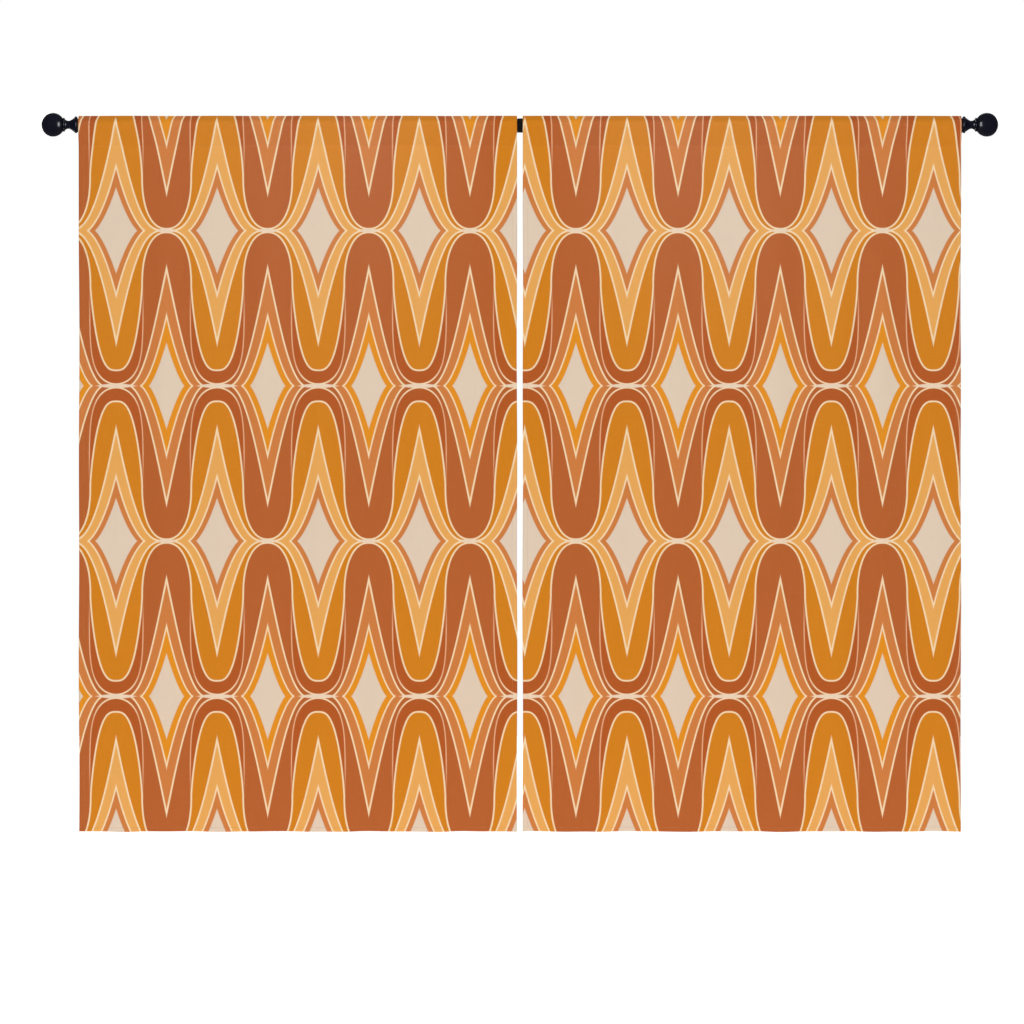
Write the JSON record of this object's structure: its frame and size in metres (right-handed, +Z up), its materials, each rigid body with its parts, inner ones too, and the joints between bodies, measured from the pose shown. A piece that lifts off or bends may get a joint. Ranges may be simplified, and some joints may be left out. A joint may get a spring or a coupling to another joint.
{
  "type": "window curtain pair on rod",
  "caption": "Pair of printed rod-pocket curtain panels hanging on a black telescoping rod with ball finials and wall brackets.",
  "frame": {"origin": "on the wall at the centre bracket's wall plate, level with the rod's axis", "axes": "+X along the rod to the viewer's right, +Y into the wall, +Z up; the room is at -Y"},
  "size_m": [2.8546, 0.1559, 2.1427],
  "materials": {
    "black_metal": "satin",
    "black_gloss": "gloss",
    "plug_plastic": "matt",
    "zinc": "plated",
    "cloth_face": "printed weave",
    "cloth_back": "plain weave, print showing faintly through"
  },
  "bodies": {
    "brackets": {"left_wall_plate": "black_metal", "left_bracket_arm": "black_metal", "left_outer_screw": "black_metal", "left_inner_screw": "black_metal", "centre_wall_plate": "black_metal", "centre_bracket_arm": "black_metal", "centre_left_screw": "black_metal", "centre_right_screw": "black_metal", "right_wall_plate": "black_metal", "right_bracket_arm": "black_metal", "right_inner_screw": "black_metal", "right_outer_screw": "black_metal"},
    "outer_rod": {"rod_outer_tube": "black_metal", "right_end_plug": "plug_plastic", "right_finial_stud": "zinc"},
    "inner_rod": {"rod_inner_tube": "black_metal", "left_end_plug": "plug_plastic", "left_finial_stud": "zinc"},
    "left_finial": {"left_finial_base": "black_gloss", "left_finial_ball": "black_gloss"},
    "right_finial": {"right_finial_base": "black_gloss", "right_finial_ball": "black_gloss"},
    "left_panel": {"left_panel_cloth": "cloth_face", "left_pocket_back": "cloth_back", "left_bottom_hem": "cloth_back", "left_outer_hem": "cloth_back"},
    "left_leading_edge": {"left_leading_hem": "cloth_back"},
    "right_panel": {"right_panel_cloth": "cloth_face", "right_pocket_back": "cloth_back", "right_bottom_hem": "cloth_back", "right_outer_hem": "cloth_back"},
    "right_leading_edge": {"right_leading_hem": "cloth_back"}
  },
  "joints": [
    {"name": "rod_lift_off", "type": "slide", "parent": "brackets", "child": "outer_rod", "axis": [0, 0, 1], "range_m": [0, 0.05]},
    {"name": "rod_telescope", "type": "slide", "parent": "outer_rod", "child": "inner_rod", "axis": [-1, 0, 0], "range_m": [0, 0.2]},
    {"name": "left_finial_unscrew", "type": "hinge", "parent": "inner_rod", "child": "left_finial", "pos_m": [-1.3185, -0.089, 0], "axis": [-1, 0, 0], "continuous": true},
    {"name": "right_finial_unscrew", "type": "hinge", "parent": "outer_rod", "child": "right_finial", "pos_m": [1.3185, -0.089, 0], "axis": [1, 0, 0], "continuous": true},
    {"name": "left_panel_swing", "type": "hinge", "parent": "outer_rod", "child": "left_panel", "pos_m": [-0.662, -0.089, 0], "axis": [1, 0, 0], "range_deg": [-35, 2]},
    {"name": "left_panel_draw", "type": "slide", "parent": "left_panel", "child": "left_leading_edge", "axis": [-1, 0, 0], "range_m": [0, 0.85], "deforming": ["left_panel_cloth", "left_pocket_back", "left_bottom_hem"]},
    {"name": "right_panel_swing", "type": "hinge", "parent": "outer_rod", "child": "right_panel", "pos_m": [0.662, -0.089, 0], "axis": [1, 0, 0], "range_deg": [-35, 2]},
    {"name": "right_panel_draw", "type": "slide", "parent": "right_panel", "child": "right_leading_edge", "axis": [1, 0, 0], "range_m": [0, 0.85], "deforming": ["right_panel_cloth", "right_pocket_back", "right_bottom_hem"]}
  ]
}
